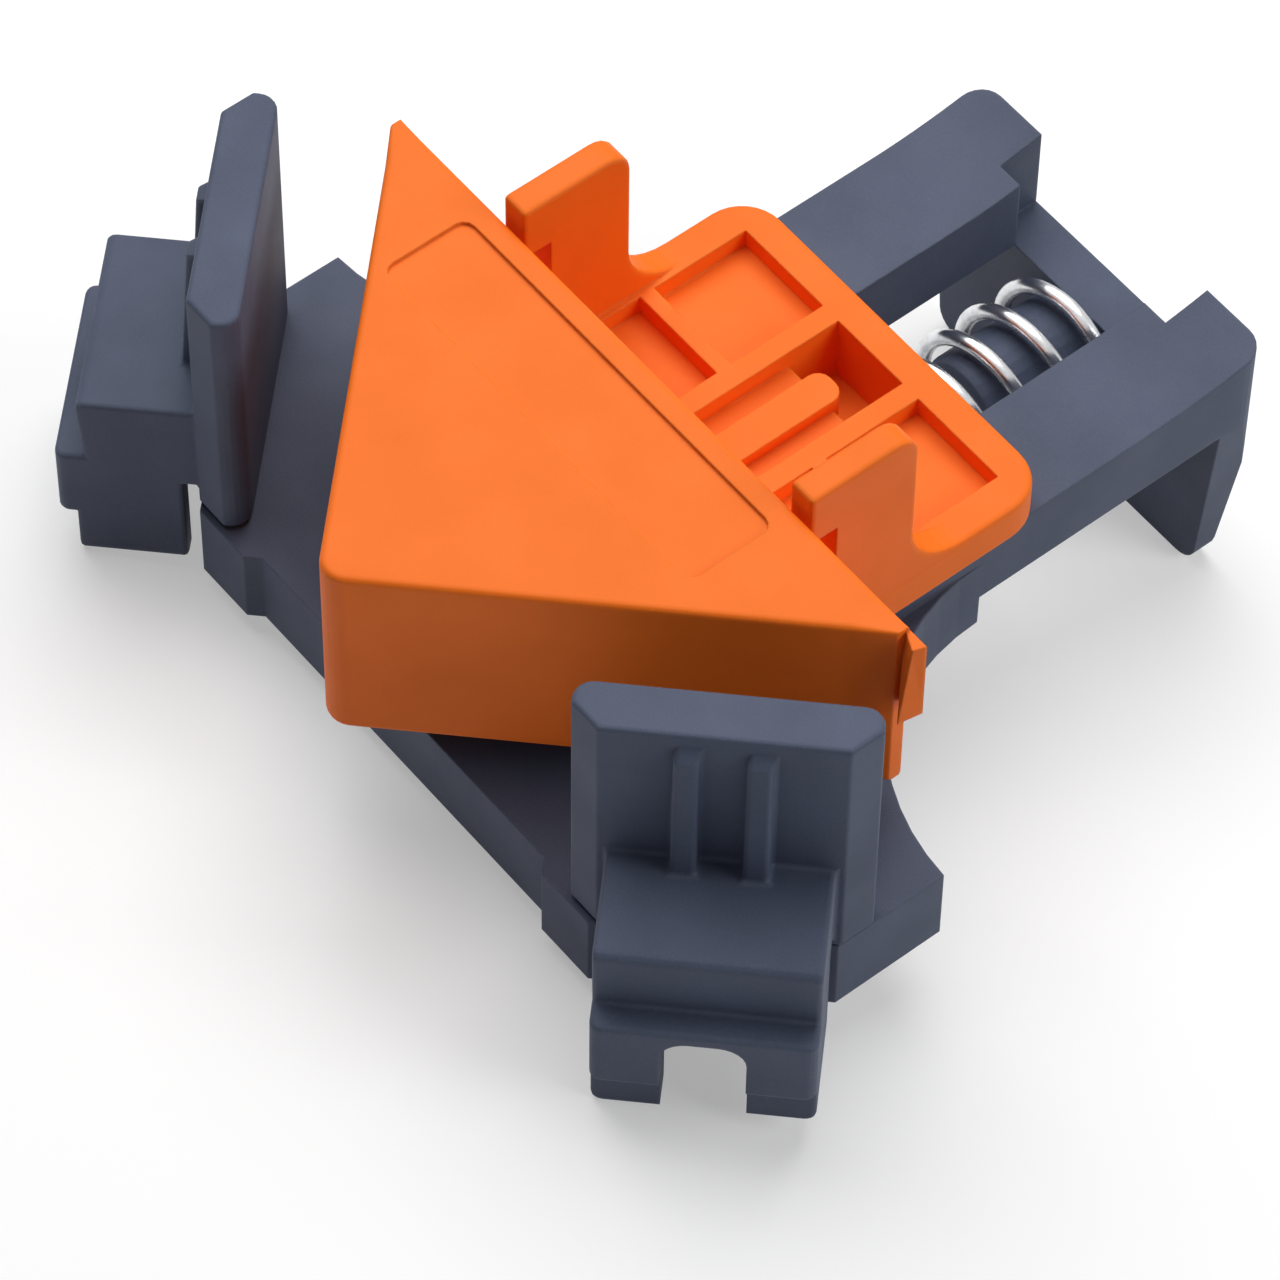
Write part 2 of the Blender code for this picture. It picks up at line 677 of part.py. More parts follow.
def build_keeper(slate):
    bottom = -KEEPER_DEPTH
    section = [
        (-KEEPER_HALF, KEEPER_TOP),
        (-KEEPER_HALF, KEEPER_TOP - KEEPER_FLANGE),
        (-KEY_HALF, KEEPER_TOP - KEEPER_FLANGE),
        (-KEY_HALF, bottom),
        (KEY_HALF, bottom),
        (KEY_HALF, KEEPER_TOP - KEEPER_FLANGE),
        (KEEPER_HALF, KEEPER_TOP - KEEPER_FLANGE),
        (KEEPER_HALF, KEEPER_TOP),
    ]
    radii = [KEEPER_EDGE, KEEPER_EDGE, KEEPER_FILLET, KEEPER_CORNER]
    section = fillet(section, radii + radii[::-1], 2)
    keeper = prism("slider_keeper", section, KEY_FRONT, KEY_BACK, "Y", slate)
    for y in screw_rows():
        hole = cylinder("keeper hole", SCREW_RADIUS + GAP, bottom - 1, KEEPER_TOP + 1, (0, y), sides=20)
        boolean(keeper, hole)
        seat = bottom + KEEPER_HEAD_HEIGHT + KEEPER_FLANGE - GAP
        sink = cylinder("head recess", KEEPER_HEAD_RADIUS + GAP, bottom - 1, seat, (0, y), sides=20)
        boolean(keeper, sink)
    settle(keeper)
    shade_smooth(keeper)
    return keeper


def screw_mesh(shank, head, head_height, low, high, material, name):
    """A pan-head screw with its head at the bottom, as one revolved solid with a cross recess."""
    profile = [
        (0, low),
        (head * 0.62, low),
        (head * 0.92, low + head_height * 0.28),
        (head, low + head_height * 0.62),
        (head, low + head_height),
        (shank, low + head_height),
        (shank, high - SCREW_POINT),
        (shank * 0.45, high),
        (0, high),
    ]
    bm = bmesh.new()
    verts = [bm.verts.new((r, 0, z)) for r, z in profile]
    edges = [bm.edges.new((verts[i], verts[i + 1])) for i in range(len(verts) - 1)]
    bmesh.ops.spin(
        bm, geom=verts + edges, cent=(0, 0, 0), axis=(0, 0, 1), angle=2 * math.pi, steps=20, use_merge=True
    )
    bmesh.ops.remove_doubles(bm, verts=bm.verts, dist=1e-5)
    screw = mesh_object(name, bm, material)
    wide = head * 0.55
    thin = head * 0.16
    for a, b in ((wide, thin), (thin, wide)):
        boolean(screw, prism("recess", box_outline(-a, a, -b, b), low - 1, low + head_height * 0.45))
    settle(screw)
    shade_smooth(screw)
    return screw


def build_keeper_screws(steel):
    low = -KEEPER_DEPTH + KEEPER_FLANGE - 2 * GAP
    top = TRAY_BOTTOM - KEEPER_HEAD_HEIGHT
    screws = []
    for label, y in zip(("front", "rear"), screw_rows()):
        name = label + "_keeper_screw"
        screw = screw_mesh(SCREW_RADIUS, KEEPER_HEAD_RADIUS, KEEPER_HEAD_HEIGHT, low, top, steel, name)
        screw.location = (0, y * MM, 0)
        screws.append(screw)
    return screws


def build_spring(steel):
    """A compression spring between the keeper and the palm plate, with closed ends."""
    radius = SPRING_WIRE / 2
    start = KEY_BACK + GAP + radius
    end = PALM_INNER_Y - GAP - radius
    tight = SPRING_WIRE * SPRING_CLOSE
    dead = SPRING_DEAD_TURNS
    live_length = end - start - 2 * dead * tight
    live = live_length / SPRING_PITCH
    turns = live + 2 * dead
    steps = int(round(turns * 26))
    curve = bpy.data.curves.new("return_spring", "CURVE")
    curve.dimensions = "3D"
    curve.bevel_depth = radius * MM
    curve.bevel_resolution = 3
    curve.use_fill_caps = True
    line = curve.splines.new("POLY")
    line.points.add(steps)
    for i in range(steps + 1):
        turn = turns * i / steps
        if turn < dead:
            back = turn * tight
        elif turn < dead + live:
            back = dead * tight + (turn - dead) * SPRING_PITCH
        else:
            back = dead * tight + live_length + (turn - dead - live) * tight
        angle = math.radians(SPRING_START_ANGLE) + 2 * math.pi * turn
        x = SPRING_RADIUS * math.cos(angle)
        z = SPRING_Z + SPRING_RADIUS * math.sin(angle)
        line.points[i].co = (x * MM, (end - back) * MM, z * MM, 1.0)
    spring = bpy.data.objects.new("return_spring", curve)
    bpy.context.scene.collection.objects.link(spring)
    curve.materials.append(steel)
    return spring


def build_jaw(name, slate):
    """A jaw about its own pivot: X along the plate, Y outwards."""
    jaw = prism(name, plate_outline(), PLATE_BOTTOM, PLATE_TOP, "Z", slate)
    for tool, operation in jaw_additions():
        boolean(jaw, tool, operation)
        settle(jaw)
    bevel(jaw, JAW_EDGE, 2, 50)
    settle(jaw)

    back = PLATE_BACK
    inside = BOX_HALF - BOX_WALL
    inside_back = back + BOX_WALL
    cavity = box_outline(-inside, inside, inside_back, NECK_OUT - BOX_WALL)
    hollow = prism("jaw cavity", cavity, BOX_BOTTOM - 1, BOX_TOP - BOX_ROOF)
    boolean(hollow, cylinder("jaw boss", JAW_BOSS_RADIUS, PLATE_BOTTOM, BOX_TOP, sides=24))
    settle(hollow)
    boolean(jaw, hollow)
    mouth = box_outline(-inside, inside, back - 2, inside_back + 1)
    boolean(jaw, prism("tongue mouth", mouth, BOX_BOTTOM - 1, PLATE_BOTTOM))
    pilot = cylinder("pilot hole", SCREW_RADIUS + GAP, BAR_HEIGHT - 1, JAW_SCREW_TOP + GAP, sides=20)
    boolean(jaw, pilot)
    notch = box_outline(-NOTCH_HALF, NOTCH_HALF, BOX_BOTTOM - 1, NOTCH_TOP)
    notch = fillet(notch, [0, 0, NOTCH_CORNER, NOTCH_CORNER], 6)
    boolean(jaw, prism("thumb notch", notch, NECK_OUT - BOX_WALL - 1, FLANGE_OUT + 1, "Y"))
    settle(jaw)
    shade_smooth(jaw)
    return jaw


def plate_outline():
    """The pad from above: round corners towards the board, chamfers behind."""
    half = [
        (PLATE_HALF, -PLATE_FACE),
        (PLATE_HALF, PLATE_BACK - PLATE_CHAMFER),
        (PLATE_HALF - PLATE_CHAMFER, PLATE_BACK),
    ]
    radii = [PLATE_FRONT_RADIUS, PLATE_BACK_RADIUS, PLATE_BACK_RADIUS]
    return fillet(mirrored(half), radii + radii[::-1], 5)


def jaw_additions():
    """The box behind the plate with its lip and skirt, and the two ribs up the plate's back."""
    root = PLATE_BACK - RIB_TOP_OUT
    section = [
        (root, PLATE_BOTTOM + SWIVEL_NICK),
        (root, BOX_TOP),
        (BOX_OUT, BOX_TOP),
        (NECK_OUT, FLANGE_TOP),
        (FLANGE_OUT, FLANGE_TOP),
        (FLANGE_OUT, FLANGE_LOW),
        (SKIRT_OUT, FLANGE_LOW),
        (SKIRT_OUT, BOX_BOTTOM),
        (SWIVEL_RELIEF, BOX_BOTTOM),
        (SWIVEL_RELIEF, PLATE_BOTTOM + SWIVEL_NICK),
    ]
    section = fillet(section, [0, 0, BOX_EDGE] + [0] * 7, 3)
    yield prism("jaw box", section, -BOX_HALF, BOX_HALF, "X"), "UNION"

    lip = BOX_HALF - FLANGE_CORNER
    out = FLANGE_OUT - FLANGE_CORNER
    far = FLANGE_OUT + 2
    for side in (-1, 1):
        edge = arc((side * lip, out), FLANGE_CORNER, 90 - 90 * side, 90, 4)
        corner = [(side * far, out), *edge, (side * lip, far), (side * far, far)]
        yield prism("lip corner", corner, BOX_BOTTOM - 1, BOX_TOP), "DIFFERENCE"

    skirt = BOX_HALF - SKIRT_CORNER
    low = BOX_BOTTOM + SKIRT_CORNER
    for side in (-1, 1):
        edge = arc((side * skirt, low), SKIRT_CORNER, 90 - 90 * side, 90 - 180 * side, 4)
        corner = [(side * far, low), *edge, (side * skirt, low - far), (side * far, low - far)]
        yield prism("skirt corner", corner, SWIVEL_RELIEF - 1, far, "Y"), "DIFFERENCE"

    rib = [
        (root, BOX_TOP - 1),
        (PLATE_BACK + RIB_FOOT_OUT, BOX_TOP - 1),
        (PLATE_BACK + RIB_TOP_OUT, RIB_TOP - RIB_TOP_OUT),
        (root, RIB_TOP + RIB_TOP_OUT),
    ]
    for side in (-1, 1):
        middle = side * RIB_SPACING / 2
        yield prism("plate rib", rib, middle - RIB_WIDTH / 2, middle + RIB_WIDTH / 2, "X"), "UNION"


def build_washer(name, steel):
    top = TONGUE_BOTTOM - GAP
    washer = cylinder(name, WASHER_RADIUS, top - WASHER_THICK, top, sides=24, material=steel)
    hole = cylinder("washer hole", SCREW_RADIUS + GAP, top - 2, top + 1, sides=24)
    boolean(washer, hole)
    settle(washer)
    shade_smooth(washer)
    return washer


def empty(name, location):
    marker = bpy.data.objects.new(name, None)
    marker.location = Vector(location) * MM
    marker.empty_display_size = 0.01
    bpy.context.scene.collection.objects.link(marker)
    return marker


def solid_bounds():
    """Lowest and highest corners of every solid, in metres."""
    graph = bpy.context.evaluated_depsgraph_get()
    low = Vector((math.inf,) * 3)
    high = Vector((-math.inf,) * 3)
    for obj in bpy.data.objects:
        if obj.type not in {"MESH", "CURVE"} or obj.hide_render:
            continue
        shape = obj.evaluated_get(graph)
        mesh = shape.to_mesh()
        for vert in mesh.vertices:
            point = shape.matrix_world @ vert.co
            low = Vector(map(min, low, point))
            high = Vector(map(max, high, point))
        shape.to_mesh_clear()
    return low, high


def stand_on_origin(root):
    """Hang everything on one empty and bring the middle of the footprint to the origin."""
    bpy.context.view_layer.update()
    low, high = solid_bounds()
    for obj in list(bpy.data.objects):
        if obj is not root and obj.parent is None:
            obj.parent = root
    root.location = (0, -(low.y + high.y) / 2, -low.z)
    bpy.context.view_layer.update()


def main():
    clear_scene()
    root = empty("clamp origin", (0, 0, 0))
    slate = make_material("dark moulded nylon", SLATE, 0.62, 0.0)
    slate_left = slate.copy()
    orange = make_material("orange moulded plastic", ORANGE, 0.42, 0.0)
    orange_tray = orange.copy()
    steel = make_material("zinc plated steel", STEEL, 0.28, 1.0)

    build_base(slate)

    slider = empty("slider axis", (0, 0, TRAY_BOTTOM))
    bpy.context.view_layer.update()
    carried = [build_tray(orange_tray), build_block(orange), build_keeper(slate_left)]
    for piece in carried + build_keeper_screws(steel):
        place_child(piece, slider)
    build_spring(steel)

    for side, label, turn in ((-1, "left", 90 + JAW_TURN), (1, "right", -90 - JAW_TURN)):
        pieces = [
            build_jaw(label + "_jaw", slate),
            screw_mesh(
                SCREW_RADIUS,
                SCREW_HEAD_RADIUS,
                SCREW_HEAD_HEIGHT,
                TONGUE_BOTTOM - 2 * GAP - WASHER_THICK - SCREW_HEAD_HEIGHT,
                JAW_SCREW_TOP,
                steel,
                label + "_pivot_screw",
            ),
            build_washer(label + "_pivot_washer", steel),
        ]
        for piece in pieces:
            piece.location = Vector((side * PIVOT_X, PIVOT_Y, 0)) * MM
            piece.rotation_euler = (0, 0, math.radians(turn))
    stand_on_origin(root)


main()
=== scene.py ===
# %% [markdown]
# A one-hand corner clamp
#
# The clamp holds two boards at a right angle while they are glued or nailed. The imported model
# already has every part at its real size and on its joint. This script gives those parts their
# finishes and makes two of them again in a finer shape: the angle block and the spring. Then it
# lays the floor and sets up the light and the camera.

# %% Load the clamp
import json
import math

import bpy
from mathutils import Matrix, Vector


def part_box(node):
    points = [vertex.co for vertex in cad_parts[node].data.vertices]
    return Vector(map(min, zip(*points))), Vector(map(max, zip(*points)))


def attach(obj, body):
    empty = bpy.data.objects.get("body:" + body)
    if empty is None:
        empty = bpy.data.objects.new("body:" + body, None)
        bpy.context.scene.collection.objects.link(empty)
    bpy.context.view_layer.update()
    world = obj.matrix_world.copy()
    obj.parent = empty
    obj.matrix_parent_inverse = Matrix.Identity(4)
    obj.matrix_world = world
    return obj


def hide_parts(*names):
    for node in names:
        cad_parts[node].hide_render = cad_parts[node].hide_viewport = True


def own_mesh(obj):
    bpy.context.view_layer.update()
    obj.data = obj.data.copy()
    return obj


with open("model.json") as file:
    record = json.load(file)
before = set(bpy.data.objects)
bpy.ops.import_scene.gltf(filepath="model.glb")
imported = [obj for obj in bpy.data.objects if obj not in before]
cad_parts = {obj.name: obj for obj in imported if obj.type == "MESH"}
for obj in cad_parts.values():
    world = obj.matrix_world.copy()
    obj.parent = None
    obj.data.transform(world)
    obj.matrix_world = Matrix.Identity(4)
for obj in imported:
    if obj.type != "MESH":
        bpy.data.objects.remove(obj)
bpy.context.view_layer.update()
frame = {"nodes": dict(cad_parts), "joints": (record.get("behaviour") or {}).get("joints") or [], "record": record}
MM = 0.001
nodes = frame["nodes"]
print("parts:", ", ".join(sorted(nodes)))

# %% [markdown]
# The camera
#
# A long lens from well above, looking down on the block and along its right leg. The angles
# and the distance are those of the photograph, so shapes can be compared one by one. The
# camera is turned about its own line of sight by a fraction of a degree, and its sensor is
# shifted a little, because the clamp does not sit quite in the middle of the picture.

# %% Place the camera
CAMERA_AZIMUTH = math.radians(50.88)
CAMERA_ELEVATION = math.radians(54.78)
CAMERA_ROLL = math.radians(0.637)
CAMERA_DISTANCE = 650 * MM
CAMERA_AIM = Vector((-0.63, -11.39, 15.98)) * MM
SENSOR = 36.0
PICTURE_PIXELS = 1280
FOCAL_PIXELS = 7183.1
SHIFT_RIGHT = 0.0110
SHIFT_UP = -0.0146
NEAREST = 10 * MM


def camera_axes(azimuth, elevation, roll):
    """Right, up and forward of a camera that looks down at the part."""
    right = Vector((math.cos(azimuth), math.sin(azimuth), 0))
    level = Vector((-math.sin(azimuth), math.cos(azimuth), 0)) * math.cos(elevation)
    forward = level - Vector((0, 0, math.sin(elevation)))
    up = right.cross(forward)
    turned_right = right * math.cos(roll) + up * math.sin(roll)
    turned_up = up * math.cos(roll) - right * math.sin(roll)
    return turned_right, turned_up, forward


right, up, forward = camera_axes(CAMERA_AZIMUTH, CAMERA_ELEVATION, CAMERA_ROLL)
bpy.ops.object.camera_add()
camera = bpy.context.object
camera.name = "product_camera"
turn = Matrix((right, up, -forward)).transposed().to_4x4()
camera.matrix_world = Matrix.Translation(CAMERA_AIM - forward * CAMERA_DISTANCE) @ turn
camera.data.sensor_width = SENSOR
camera.data.lens = SENSOR * FOCAL_PIXELS / PICTURE_PIXELS
camera.data.shift_x = SHIFT_RIGHT
camera.data.shift_y = SHIFT_UP
camera.data.clip_start = NEAREST
bpy.context.scene.camera = camera
print("lens in mm:", round(camera.data.lens, 1))

# %% [markdown]
# The floor
#
# The clamp stands on the foot of its palm plate and on the front corners of its two jaws, so
# the table slopes a little when the block is level. A tilted clamp on a level table would look
# the same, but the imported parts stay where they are. So one big plane is laid just under the
# points that the clamp stands on.

# %% Lay the floor
FOOT_Y = 41.6 * MM
JAW_FRONT_Y = -45.0 * MM
FLOOR_SIZE = 4.0
FLOOR_GAP = 0.05 * MM
base_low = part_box("base_frame")[0]
jaw_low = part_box("left_jaw")[0]
floor_slope = math.atan2(jaw_low[2] - base_low[2], FOOT_Y - JAW_FRONT_Y)
bpy.ops.object.select_all(action="DESELECT")
bpy.ops.mesh.primitive_plane_add(size=FLOOR_SIZE)
floor = bpy.context.object
floor.name = "floor"
floor.rotation_euler = (-floor_slope, 0, 0)
floor.location = (0, FOOT_Y, base_low[2] - FLOOR_GAP)
bpy.ops.object.transform_apply(location=False, rotation=False, scale=True)
print("slope in degrees:", round(math.degrees(floor_slope), 2))

# %% [markdown]
# Shader sums in Python
#
# A finish is a small sum of noise, edges and colours. Written node by node it is hard to read,
# so one class wraps a socket and lets Python's own signs add the Math nodes. A second class
# holds a whole node tree and adds every other node, for a material or for the world.

# %% Make a small language for shaders


class Value:
    """A shader socket that can stand in a Python sum."""

    def __init__(self, finish, socket):
        self.finish = finish
        self.socket = socket

    def sum(self, operation, *values):
        return self.finish.node("ShaderNodeMath", {"operation": operation}, *values)

    def __add__(self, other):
        return self.sum("ADD", self, other)

    def __sub__(self, other):
        return self.sum("SUBTRACT", self, other)

    def __rsub__(self, other):
        return self.sum("SUBTRACT", other, self)

    def __mul__(self, other):
        return self.sum("MULTIPLY", self, other)

    __radd__ = __add__
    __rmul__ = __mul__

    def clamped(self):
        return self.finish.node("ShaderNodeClamp", {}, self, 0.0, 1.0)


# %% Add nodes by their type
EDGE_STOPS = (0.02, 0.25)
EDGE_SAMPLES = 6


class Finish:
    """A material or a world, built from its shader outwards."""

    def __init__(self, owner, shader):
        self.owner = owner
        owner.use_nodes = True
        self.tree = owner.node_tree
        self.shader = self.tree.nodes[shader]

    def fill(self, socket, value):
        if isinstance(value, Value):
            self.tree.links.new(value.socket, socket)
        else:
            socket.default_value = value

    def node(self, kind, settings, *values, output=0, **named):
        """Add a node. Values fill its sockets in order, and named ones fill by name."""
        made = self.tree.nodes.new(kind)
        for key, setting in settings.items():
            setattr(made, key, setting)
        for socket, value in zip(made.inputs, values):
            self.fill(socket, value)
        for key, value in named.items():
            self.fill(made.inputs[key.replace("_", " ")], value)
        return Value(self, made.outputs[output])

    def set(self, **sockets):
        for key, value in sockets.items():
            self.fill(self.shader.inputs[key.replace("_", " ")], value)

    def place(self):
        """Where a point is on its own piece."""
        return self.node("ShaderNodeTexCoord", {}, output="Object")

    def ray(self, kind):
        """1 for rays of one kind and 0 for the rest."""
        return self.node("ShaderNodeLightPath", {}, output=kind)

    def noise(self, size, detail=2.0):
        """Noise whose blotches are about this size in metres."""
        vector = self.place()
        return self.node("ShaderNodeTexNoise", {}, Vector=vector, Scale=1 / size, Detail=detail)

    def contrast(self, value, low, high):
        return self.node("ShaderNodeMapRange", {}, value, low, high, 0.0, 1.0)

    def mix(self, factor, first, second):
        """Blend two colours. They go in the Mix node's seventh and eighth sockets."""
        made = self.node("ShaderNodeMix", {"data_type": "RGBA"}, factor, output=2)
        for socket, colour in zip(made.socket.node.inputs[6:8], (first, second)):
            self.fill(socket, colour)
        return made

    def either(self, factor, first, second):
        """The first shader where the factor is 0, and the second where it is 1."""
        return self.node("ShaderNodeMixShader", {}, factor, first, second)

    def dot(self, first, second):
        return self.node(
            "ShaderNodeVectorMath", {"operation": "DOT_PRODUCT"}, first, second, output="Value"
        )

    def rounded(self, radius):
        """The surface's normal with its edges rounded off by this radius in metres."""
        return self.node("ShaderNodeBevel", {"samples": EDGE_SAMPLES}, radius)

    def edges(self, radius):
        """Nearly 1 along edges and 0 on flats."""
        plain = self.node("ShaderNodeNewGeometry", {}, output="Normal")
        return self.contrast(1 - self.dot(self.rounded(radius), plain), *EDGE_STOPS)

    def bump(self, height, depth, normal):
        """A normal that is raised by a height between 0 and 1, times a depth in metres."""
        return self.node(
            "ShaderNodeBump", {}, Height=height, Distance=depth, Strength=1.0, Normal=normal
        )


def new_finish(name):
    return Finish(bpy.data.materials.new(name), "Principled BSDF")


print("shader tools are ready")

# %% [markdown]
# Moulded plastic
#
# The base and the jaws are a glass-filled nylon with a fine spark-eroded grain. The block and
# the slider are a smoother orange plastic. Both come out of a mould, so both have the same
# make-up: a fine grain, broad faint flow marks in the colour, and corners that are a touch
# rounder than the faces. The corners are also paler: partly wear, where hands and boards rub
# them, and partly a painted highlight along the rounded edges. The grain could be real
# geometry, but at a fifth of a millimetre a bump looks the same and costs nothing.

# %% Build the plastic finishes
GRAIN_SIZE = 0.22 * MM
FLOW_SIZE = 9 * MM
WEAR_AND_HIGHLIGHT_PATCH_SIZE = 1.6 * MM
WEAR_AND_HIGHLIGHT_WIDTH = 0.5 * MM
MOULD_RADIUS = 0.35 * MM
FLOW_STOPS = (0.35, 0.7)
WEAR_AND_HIGHLIGHT_STOPS = (0.3, 0.62)
SPECK_STOPS = (0.45, 0.75)
WEAR_AND_HIGHLIGHT_SHARE = 0.45
FLOW_ROUGHENS = 0.06
GRAIN_ROUGHENS = 0.08
WEAR_SMOOTHS = 0.08


def moulded_plastic(name, colour, pale_wear_and_highlight, roughness, grain_depth, blotch, gloss):
    """A moulded plastic: colour, pale wear and painted highlight, gloss, grain and flow strength."""
    finish = new_finish(name)
    grain = finish.noise(GRAIN_SIZE, detail=3.0)
    flow = finish.contrast(finish.noise(FLOW_SIZE, detail=3.0), *FLOW_STOPS)
    # Mask of the pale edges: partly wear, partly a painted highlight along the rounded edges.
    wear_and_highlight_edge = finish.edges(WEAR_AND_HIGHLIGHT_WIDTH) * finish.contrast(finish.noise(WEAR_AND_HIGHLIGHT_PATCH_SIZE), *WEAR_AND_HIGHLIGHT_STOPS)
    shaded = [channel * (1 - blotch) for channel in colour[:3]] + [1.0]
    body = finish.mix(flow, colour, shaded)
    speckled = finish.mix(finish.contrast(grain, *SPECK_STOPS) * blotch, body, pale_wear_and_highlight)
    rough = roughness + flow * FLOW_ROUGHENS + grain * GRAIN_ROUGHENS - wear_and_highlight_edge * WEAR_SMOOTHS
    finish.set(
        # The edges get the pale colour, which is wear and painted highlight together.
        Base_Color=finish.mix(wear_and_highlight_edge * WEAR_AND_HIGHLIGHT_SHARE, speckled, pale_wear_and_highlight),
        Roughness=rough.clamped(),
        Normal=finish.bump(grain, grain_depth, finish.rounded(MOULD_RADIUS)),
        Specular_IOR_Level=gloss,
    )
    return finish.owner


dark_nylon = moulded_plastic(
    "dark_nylon_grained",
    colour=(0.067, 0.083, 0.135, 1.0),
    pale_wear_and_highlight=(0.15, 0.165, 0.20, 1.0),
    roughness=0.55,
    grain_depth=0.03 * MM,
    blotch=0.14,
    gloss=0.3,
)
orange_plastic = moulded_plastic(
    "orange_satin",
    colour=(0.93, 0.172, 0.009, 1.0),
    pale_wear_and_highlight=(0.96, 0.30, 0.05, 1.0),
    roughness=0.50,
    grain_depth=0.012 * MM,
    blotch=0.07,
    gloss=0.22,
)
print("plastics:", dark_nylon.name, orange_plastic.name)

# %% [markdown]
# Zinc-plated steel
#
# The spring, the screws and the washers are plated steel: bright, a little milky, and with
# faint clouds where the plating is thicker. One even grey would look like paint, so the clouds
# change both the colour and the roughness.

# %% Build the steel finish
CLOUD_SIZE = 1.2 * MM
CLOUD_STOPS = (0.35, 0.7)
CLOUD_ROUGHENS = 0.10
PLATING_SIZE = 0.12 * MM
PLATING_DEPTH = 0.004 * MM
STEEL_RADIUS = 0.4 * MM


def plated_steel(name, colour, clouded, roughness):
    """A plated steel with thicker patches of another colour."""
    finish = new_finish(name)
    cloud = finish.contrast(finish.noise(CLOUD_SIZE, detail=4.0), *CLOUD_STOPS)
    fine = finish.noise(PLATING_SIZE)
    finish.set(
        Base_Color=finish.mix(cloud, colour, clouded),
        Metallic=1.0,
        Roughness=(roughness + cloud * CLOUD_ROUGHENS).clamped(),
        Normal=finish.bump(fine, PLATING_DEPTH, finish.rounded(STEEL_RADIUS)),
    )
    return finish.owner


zinc_steel = plated_steel(
    "zinc_plated_steel",
    colour=(0.80, 0.81, 0.82, 1.0),
    clouded=(0.66, 0.67, 0.69, 1.0),
    roughness=0.20,
)
print("steel:", zinc_steel.name)

# %% [markdown]
# Finishes on the parts
#
# The record says which material slot each part has. One finish stands for each slot, so a part
# that comes from the same mould or the same bath looks the same.

# %% Put the finishes on the parts
FINISH_OF = {
    "dark_nylon": dark_nylon,
    "orange_plastic": orange_plastic,
    "zinc_steel": zinc_steel,
}
slot_of = {part["node"]: part["material_slot"] for part in frame["record"]["subparts"]}
for name, node in nodes.items():
    node.data.materials.clear()
    node.data.materials.append(FINISH_OF[slot_of[name]])
print("parts with a finish:", len(nodes))

# %% [markdown]
# The tips of the block
#
# Seen from above, the real block is a triangle whose two sharp ends are hardly blunted. The
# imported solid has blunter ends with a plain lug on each. A whole new block would have to repeat
# its hollow and its dovetail, so a merged copy is cut at the ends and drawn out along the legs
# instead, and the walls, the groove and the panel stay as they are.

# %% Tools for cutting and joining
MERGE = 0.001 * MM


def only(piece):
    """Select one piece and nothing else."""
    bpy.ops.object.select_all(action="DESELECT")
    piece.select_set(True)
    bpy.context.view_layer.objects.active = piece


def merged_copy(node, name):
    """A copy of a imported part, with its loose triangles joined up."""
    piece = bpy.data.objects.new(name, nodes[node].data.copy())
    bpy.context.scene.collection.objects.link(piece)
    only(piece)
    bpy.ops.object.mode_set(mode="EDIT")
    bpy.ops.mesh.select_all(action="SELECT")
    bpy.ops.mesh.remove_doubles(threshold=MERGE)
    bpy.ops.object.mode_set(mode="OBJECT")
    bpy.ops.mesh.customdata_custom_splitnormals_clear()
    return piece


def slice_off(piece, point, normal, keep=False):
    """Cut away what lies beyond a plane and close the cut, or just cut and keep both sides."""
    only(piece)
    bpy.ops.object.mode_set(mode="EDIT")
    bpy.ops.mesh.select_all(action="SELECT")
    bpy.ops.mesh.bisect(
        plane_co=point,
        plane_no=Vector(normal).normalized(),
        threshold=MERGE,
        use_fill=not keep,
        clear_outer=not keep,
    )
    bpy.ops.object.mode_set(mode="OBJECT")


def box_piece(name, low, high):
    """A cube between two corners, with its size in its mesh."""
    bpy.ops.object.select_all(action="DESELECT")
    middle = (Vector(low) + Vector(high)) / 2
    bpy.ops.mesh.primitive_cube_add(size=1, location=middle, scale=Vector(high) - Vector(low))
    bpy.context.object.name = name
    bpy.ops.object.transform_apply(location=True, rotation=False, scale=True)
    return bpy.context.object


def unite(piece, addition):
    """Join a closed addition to a closed piece."""
    union = piece.modifiers.new("union", "BOOLEAN")
    union.operation = "UNION"
    union.object = addition
    only(piece)
    bpy.ops.object.modifier_apply(modifier=union.name)
    bpy.data.objects.remove(addition)


# %% Draw out the tips
TIP_FROM = 32.0 * MM
CUT_TIP = 32.55 * MM
TIP_END = 35.05 * MM
LEG_MEETS_BACK = 36.5 * MM
block = merged_copy("angle_block", "corner_block")
block_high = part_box("angle_block")[1]
back = block_high[1]
for side in (-1, 1):
    slice_off(block, (side * CUT_TIP, 0, 0), (side, 0, 0))
    slice_off(block, (side * TIP_FROM, 0, 0), (side, 0, 0), keep=True)
for vertex in block.data.vertices:
    x = abs(vertex.co.x)
    if x > TIP_FROM:
        share = (x - TIP_FROM) / (CUT_TIP - TIP_FROM)
        reach = TIP_FROM + share * (TIP_END - TIP_FROM)
        narrower = (LEG_MEETS_BACK - reach) / (LEG_MEETS_BACK - x)
        vertex.co.y = back + (vertex.co.y - back) * narrower
        vertex.co.x = math.copysign(reach, vertex.co.x)
print("tips at", round(TIP_END / MM, 2), "mm, block of", len(block.data.vertices), "points")

# %% [markdown]
# The lifting wedge
#
# Only the end towards us carries a small wedge, just below the top, to lift the block by. It
# could be extruded from the end face, but that face is hardly wider than the wedge is thick. So
# the wedge is a cube with two slices off and its front edge leant back, joined to the block.

